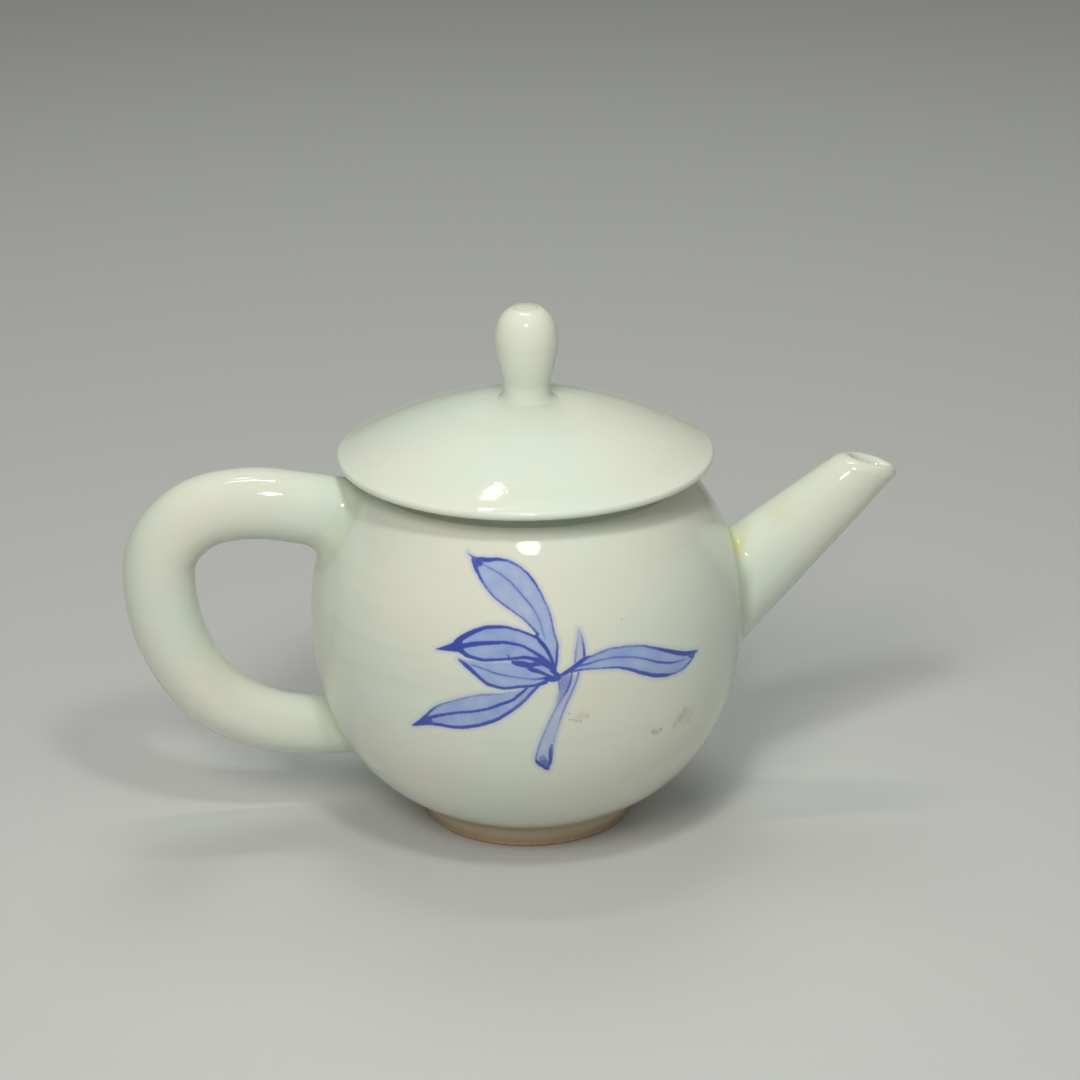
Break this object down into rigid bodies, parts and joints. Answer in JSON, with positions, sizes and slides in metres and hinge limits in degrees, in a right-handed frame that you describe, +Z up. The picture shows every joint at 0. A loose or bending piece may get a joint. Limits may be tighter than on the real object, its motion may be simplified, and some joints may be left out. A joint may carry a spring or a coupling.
{
  "type": "teapot",
  "caption": "Small round white porcelain teapot with a blue brushed leaf spray, straight spout, loop handle and a wide lift-off lid with a bulb knob.",
  "frame": {"origin": "on the table, under the middle of the whole teapot, midway between the back of the handle and the tip of the spout; the pot's own upright axis is 2.6 mm from it along +X", "axes": "+X along the spout's side, away from the handle; +Z up; the painted side faces -Y"},
  "size_m": [0.1636, 0.0914, 0.1118],
  "materials": {
    "glazed_porcelain": "gloss",
    "bare_foot": "satin"
  },
  "bodies": {
    "pot": {"pot_body": "glazed_porcelain", "foot_ring": "bare_foot", "spout": "glazed_porcelain", "handle": "glazed_porcelain"},
    "lid": {"lid": "glazed_porcelain", "lid_flange": "glazed_porcelain", "lid_knob": "glazed_porcelain"}
  },
  "joints": [
    {"name": "lid_lift", "type": "slide", "parent": "pot", "child": "lid", "axis": [0, 0, 1], "range_m": [0, 0.04]}
  ]
}
